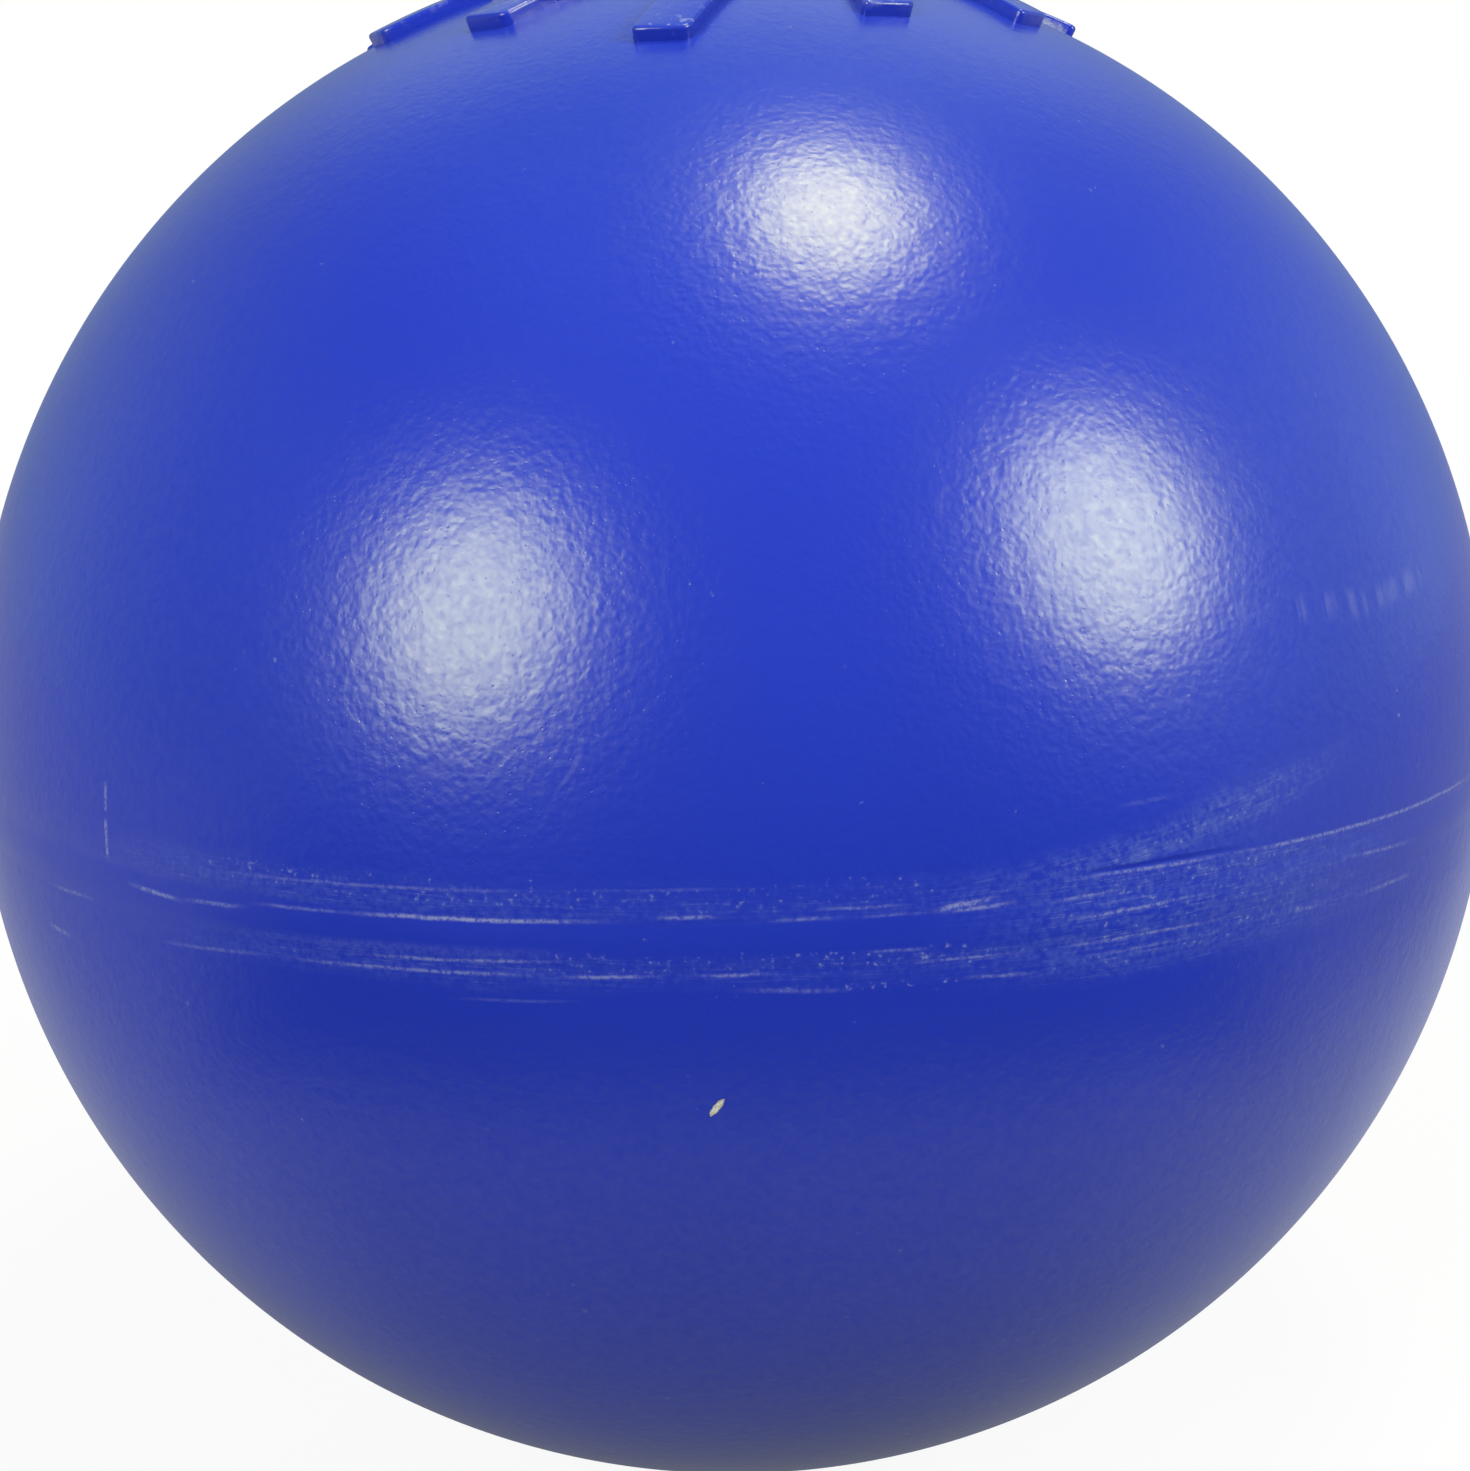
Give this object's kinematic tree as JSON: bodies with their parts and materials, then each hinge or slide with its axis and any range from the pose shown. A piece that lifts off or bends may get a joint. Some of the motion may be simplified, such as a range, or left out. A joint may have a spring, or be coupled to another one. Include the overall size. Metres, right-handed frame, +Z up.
{
  "type": "dog ball",
  "caption": "Hollow hard-plastic dog ball with a skived weld seam round its middle, raised tread bars on top and a coin-slot screw plug in a flat landing, for water or sand.",
  "frame": {"origin": "centre of the flat landing on which the ball stands, on the landing's plane", "axes": "+Z up through the plug, the ball's centre and the top pole, across the weld seam; -Y towards the camera of the picture; +X to the right"},
  "size_m": [0.2504, 0.2504, 0.2474],
  "materials": {
    "shell": "moulded blue polyethylene, glossy with a fine orange-peel grain",
    "weld": "blue polyethylene, skived and scuffed where the weld bead was cut off",
    "plug": "blue polyethylene, semi-gloss",
    "insert": "black glass-filled nylon",
    "seal": "black nitrile rubber"
  },
  "bodies": {
    "ball": {"upper_shell": "shell", "lower_shell": "shell", "seam_weld": "weld", "threaded_insert": "insert"},
    "plug_travel": {"sealing_ring": "seal"},
    "plug": {"filler_plug": "plug"}
  },
  "joints": [
    {"name": "plug_slide", "type": "slide", "parent": "ball", "child": "plug_travel", "axis": [0, 0, -1], "range_m": [0, 0.0135]},
    {"name": "plug_turn", "type": "hinge", "parent": "plug_travel", "child": "plug", "pos_m": [0, 0, 0.006], "axis": [0, 0, -1], "range_deg": [0, 1620]}
  ],
  "couplings": [
    {"joint": "plug_slide", "follows": "plug_turn", "m_per_rad": 0.00047746}
  ]
}
